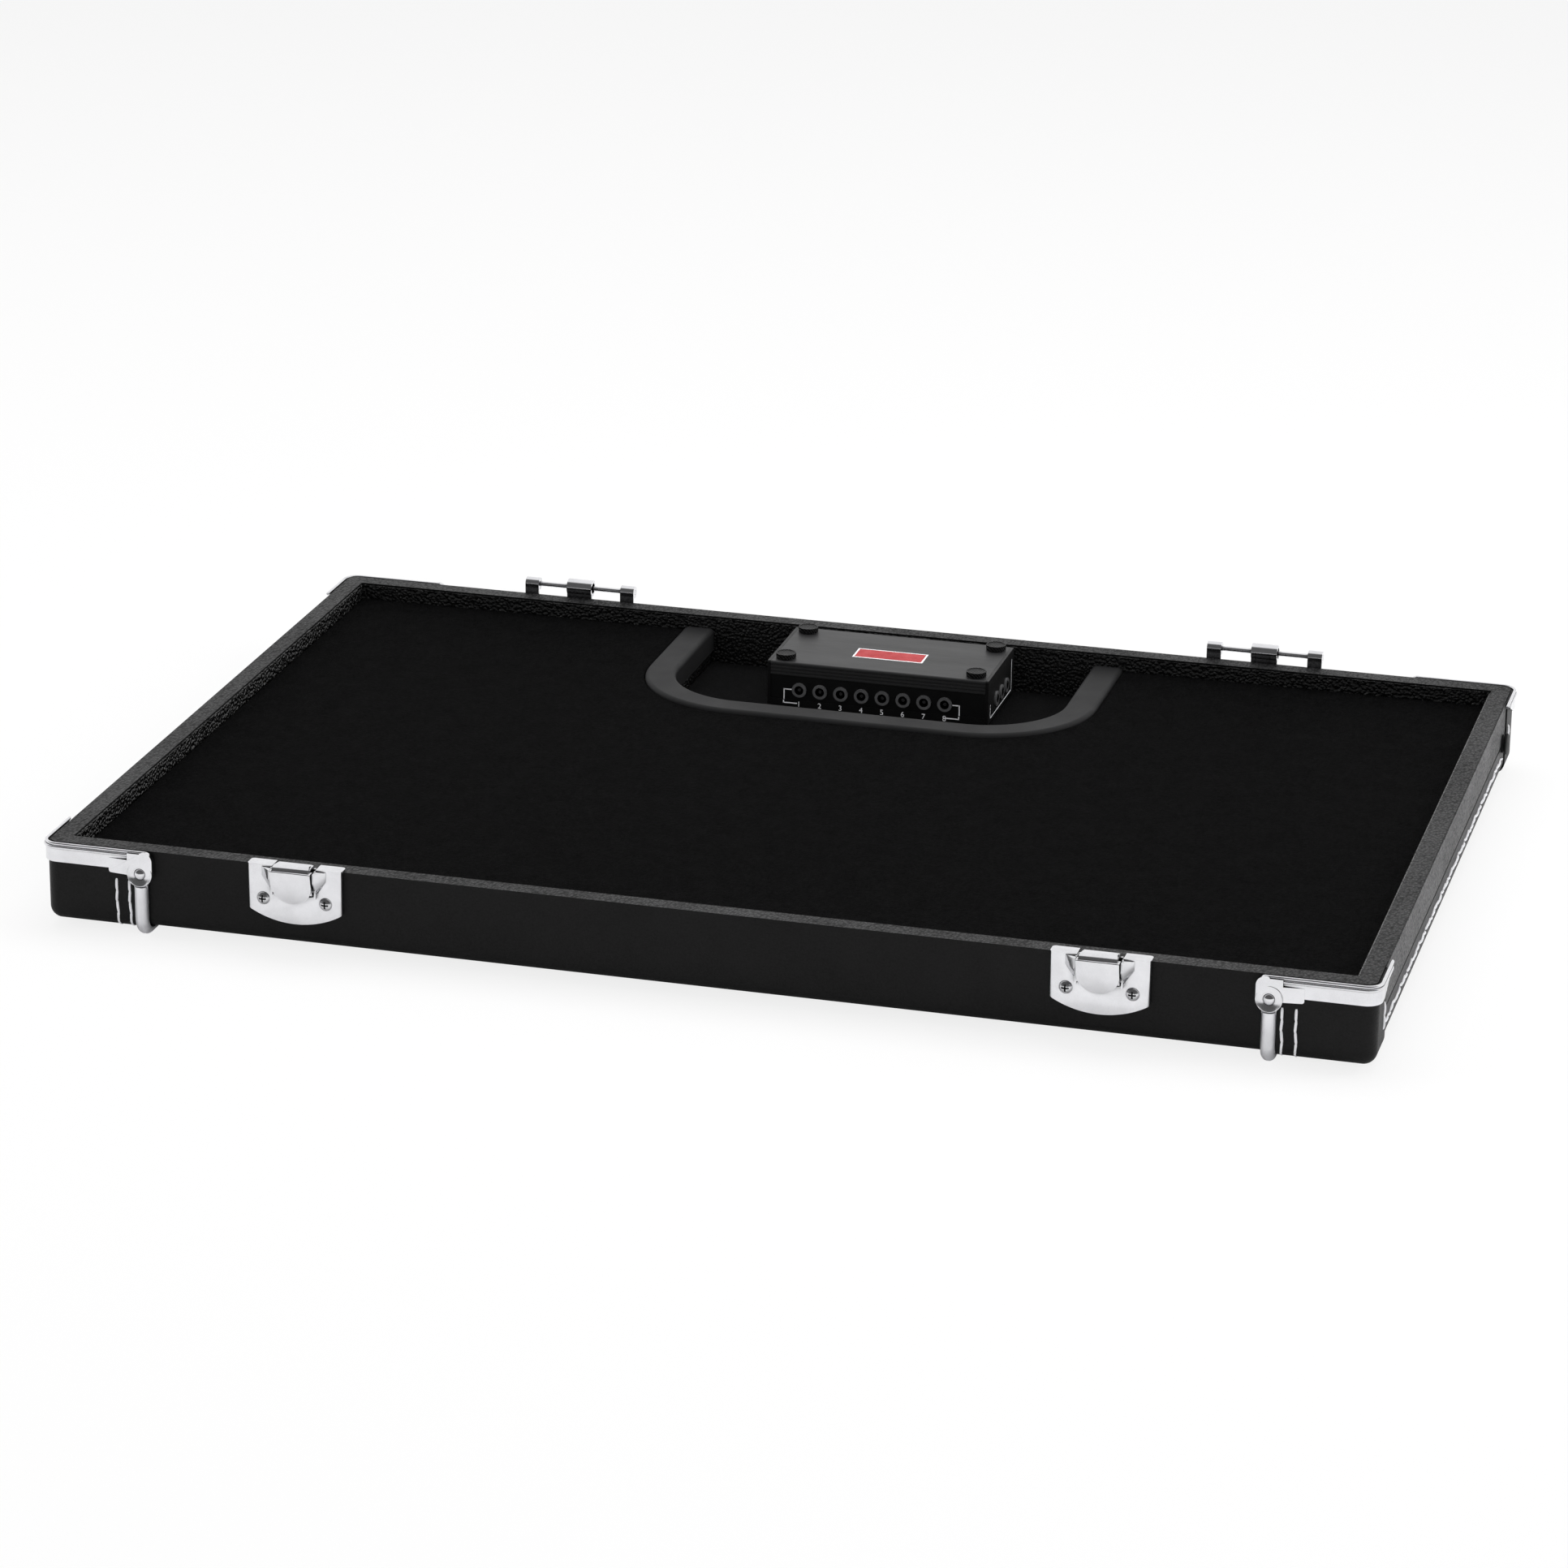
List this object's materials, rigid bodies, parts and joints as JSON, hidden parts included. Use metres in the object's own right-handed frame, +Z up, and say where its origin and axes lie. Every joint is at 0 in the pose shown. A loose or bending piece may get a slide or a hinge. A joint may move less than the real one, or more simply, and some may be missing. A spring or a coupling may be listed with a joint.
{
  "type": "guitar pedal case",
  "caption": "Open lower tray of a guitar pedal case: covered plywood walls, carpeted deck, power supply in a bay, spring hook latches and lift-off hinge halves.",
  "frame": {"origin": "under the middle of the whole tray, on the surface that its four runners stand on", "axes": "+X along the width, to the right seen from the latches; +Y to the back, towards the hinges; +Z up"},
  "size_m": [0.7488, 0.5208, 0.0611],
  "materials": {
    "plywood": "sanded",
    "covering": "grained, half matt",
    "lining": "short pile",
    "carpet": "looped pile",
    "trim": "smooth, half matt",
    "mat": "short pile",
    "hook_and_loop": "hook and loop",
    "supply_cover": "anodised, satin",
    "supply_case": "powder coat",
    "circuit_board": "solder mask",
    "socket": "moulded",
    "thumb_screw": "black, satin",
    "leather": "stitched",
    "bright_nickel": "polished",
    "steel": "plated",
    "rubber": "matt"
  },
  "bodies": {
    "tray": {"bottom_panel": "plywood", "front_wall": "plywood", "back_wall": "plywood", "left_wall": "plywood", "right_wall": "plywood", "outer_covering": "covering", "bottom_covering": "covering", "upper_end_bands": "covering", "lower_end_bands": "covering", "wall_lining": "lining", "deck_board": "plywood", "deck_carpet": "carpet", "deck_battens": "plywood", "bay_surround": "lining", "bay_trim": "trim", "bay_block": "plywood", "bay_mat": "mat", "psu_loop_pad": "hook_and_loop", "psu_hook_pad": "hook_and_loop", "psu_base": "supply_case", "psu_cover": "supply_cover", "psu_front_panel": "supply_case", "psu_left_end": "supply_case", "psu_right_end": "supply_case", "psu_board": "circuit_board", "psu_jacks": "socket", "psu_end_jacks": "socket", "leather_patch_fl": "leather", "leather_patch_fr": "leather", "leather_patch_bl": "leather", "leather_patch_br": "leather", "corner_strip_fl": "bright_nickel", "corner_strip_fr": "bright_nickel", "corner_strip_bl": "bright_nickel", "corner_strip_br": "bright_nickel", "runner_fl": "bright_nickel", "runner_fr": "bright_nickel", "runner_bl": "bright_nickel", "runner_br": "bright_nickel", "corner_rivets": "bright_nickel", "runner_screws": "steel", "end_bumpers": "rubber", "latch_plate_left": "bright_nickel", "latch_plate_right": "bright_nickel", "lever_pin_left": "steel", "lever_pin_right": "steel", "lever_spring_left": "steel", "lever_spring_right": "steel", "latch_screws": "steel", "hinge_half_left": "steel", "hinge_half_right": "steel", "hinge_rod_left": "steel", "hinge_rod_right": "steel", "hinge_screws": "steel"},
    "latch_left": {"hook_lever_left": "bright_nickel"},
    "latch_right": {"hook_lever_right": "bright_nickel"},
    "thumb_fl": {"thumb_screw_fl": "thumb_screw"},
    "thumb_fr": {"thumb_screw_fr": "thumb_screw"},
    "thumb_bl": {"thumb_screw_bl": "thumb_screw"},
    "thumb_br": {"thumb_screw_br": "thumb_screw"}
  },
  "joints": [
    {"name": "latch_left_turn", "type": "hinge", "parent": "tray", "child": "latch_left", "pos_m": [-0.2243, -0.25278, 0.0394], "axis": [1, 0, 0], "range_deg": [0, 9], "stiffness_Nm_per_rad": 0.05, "springref_deg": -5.73},
    {"name": "latch_right_turn", "type": "hinge", "parent": "tray", "child": "latch_right", "pos_m": [0.2243, -0.25278, 0.0394], "axis": [1, 0, 0], "range_deg": [0, 9], "stiffness_Nm_per_rad": 0.05, "springref_deg": -5.73},
    {"name": "thumb_fl_turn", "type": "hinge", "parent": "tray", "child": "thumb_fl", "pos_m": [-0.0618, 0.17222, 0.0517], "axis": [0, 0, 1], "range_deg": [0, 360]},
    {"name": "thumb_fr_turn", "type": "hinge", "parent": "tray", "child": "thumb_fr", "pos_m": [0.057, 0.17222, 0.0517], "axis": [0, 0, 1], "range_deg": [0, 360]},
    {"name": "thumb_bl_turn", "type": "hinge", "parent": "tray", "child": "thumb_bl", "pos_m": [-0.0618, 0.22473, 0.0517], "axis": [0, 0, 1], "range_deg": [0, 360]},
    {"name": "thumb_br_turn", "type": "hinge", "parent": "tray", "child": "thumb_br", "pos_m": [0.057, 0.22473, 0.0517], "axis": [0, 0, 1], "range_deg": [0, 360]}
  ]
}
